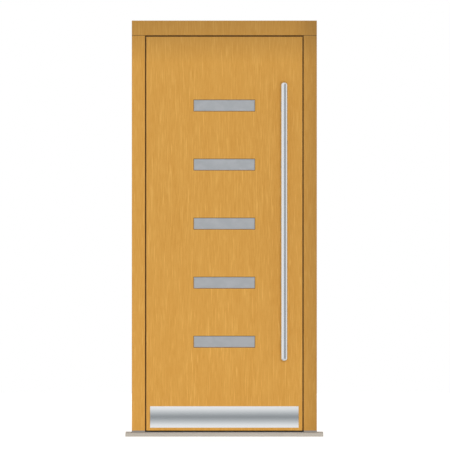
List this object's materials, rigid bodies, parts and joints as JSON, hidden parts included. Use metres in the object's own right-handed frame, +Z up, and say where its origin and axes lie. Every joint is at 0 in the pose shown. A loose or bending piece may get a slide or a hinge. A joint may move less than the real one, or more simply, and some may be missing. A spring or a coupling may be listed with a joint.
{
  "type": "wooden front door with frame",
  "caption": "Flush oak front door in its rebated frame, with a column of slim frosted lites, a long steel pull bar, a kick plate, hinges and a mortise lock worked from inside.",
  "frame": {"origin": "on the underside of the sill, midway along it, in the plane of the frame's outer face", "axes": "+X to the right seen from outside, +Y into the house, +Z up"},
  "size_m": [1.004, 0.2185, 2.112],
  "materials": {
    "oak": "oiled oak",
    "core": "pressed board",
    "frosted_glass": "satin frosted",
    "gasket": "matt",
    "seal": "matt",
    "bar_steel": "satin brushed",
    "plate_steel": "polished",
    "hinge_steel": "satin",
    "lock_steel": "plated",
    "edge_timber": "dark stained hardwood",
    "rail_metal": "anodised",
    "sill": "fine stone texture",
    "block": "matt"
  },
  "bodies": {
    "frame": {"frame_head": "oak", "frame_jamb_hinge": "oak", "frame_jamb_lock": "oak", "threshold_sill": "sill", "threshold_rail": "rail_metal", "threshold_block_hinge": "block", "threshold_block_lock": "block", "seal_head": "seal", "seal_hinge": "seal", "seal_lock": "seal", "keep_plate": "lock_steel", "hinge_top_frame_plate": "hinge_steel", "hinge_top_pin": "hinge_steel", "hinge_middle_frame_plate": "hinge_steel", "hinge_middle_pin": "hinge_steel", "hinge_bottom_frame_plate": "hinge_steel", "hinge_bottom_pin": "hinge_steel"},
    "leaf": {"leaf_outer_panel": "oak", "leaf_inner_panel": "oak", "leaf_stile_hinge": "edge_timber", "leaf_stile_lock": "edge_timber", "leaf_rail_top": "edge_timber", "leaf_rail_bottom": "edge_timber", "leaf_core": "core", "bottom_seal": "seal", "glazing_gaskets": "gasket", "pull_bar": "bar_steel", "pull_bar_cap_top": "bar_steel", "pull_bar_cap_bottom": "bar_steel", "pull_post_top": "bar_steel", "pull_post_bottom": "bar_steel", "pull_bolts": "lock_steel", "pull_bolt_caps": "bar_steel", "kick_plate": "plate_steel", "lock_case": "lock_steel", "lock_faceplate": "lock_steel", "lock_cylinder": "lock_steel", "handle_backplate": "bar_steel", "hinge_top_door_plate": "hinge_steel", "hinge_middle_door_plate": "hinge_steel", "hinge_bottom_door_plate": "hinge_steel", "glass_unit_1": "frosted_glass", "glazing_bead_1": "oak", "glass_unit_2": "frosted_glass", "glazing_bead_2": "oak", "glass_unit_3": "frosted_glass", "glazing_bead_3": "oak", "glass_unit_4": "frosted_glass", "glazing_bead_4": "oak", "glass_unit_5": "frosted_glass", "glazing_bead_5": "oak"},
    "lever": {"lever_handle": "bar_steel", "lever_spindle": "lock_steel", "lock_follower": "lock_steel"},
    "latch": {"latch_bolt": "lock_steel"},
    "thumb_turn": {"thumb_turn": "bar_steel", "cylinder_cam": "lock_steel"},
    "dead_bolt": {"dead_bolt": "lock_steel"}
  },
  "joints": [
    {"name": "door_swing", "type": "hinge", "parent": "frame", "child": "leaf", "pos_m": [-0.4146, 0.08, 1.0295], "axis": [0, 0, 1], "range_deg": [0, 100]},
    {"name": "lever_turn", "type": "hinge", "parent": "leaf", "child": "lever", "pos_m": [0.3476, 0.128, 1.05], "axis": [0, -1, 0], "range_deg": [0, 40], "stiffness_Nm_per_rad": 1.5, "springref_deg": -22.92},
    {"name": "latch_slide", "type": "slide", "parent": "leaf", "child": "latch", "axis": [-1, 0, 0], "range_m": [0, 0.0125]},
    {"name": "thumb_turn_turn", "type": "hinge", "parent": "leaf", "child": "thumb_turn", "pos_m": [0.3476, 0.083, 0.958], "axis": [0, 1, 0], "range_deg": [0, 90]},
    {"name": "dead_bolt_slide", "type": "slide", "parent": "leaf", "child": "dead_bolt", "axis": [1, 0, 0], "range_m": [0, 0.02]}
  ],
  "couplings": [
    {"joint": "latch_slide", "follows": "lever_turn", "m_per_rad": 0.017905},
    {"joint": "thumb_turn_turn", "follows": "dead_bolt_slide", "rad_per_m": 78.54}
  ]
}
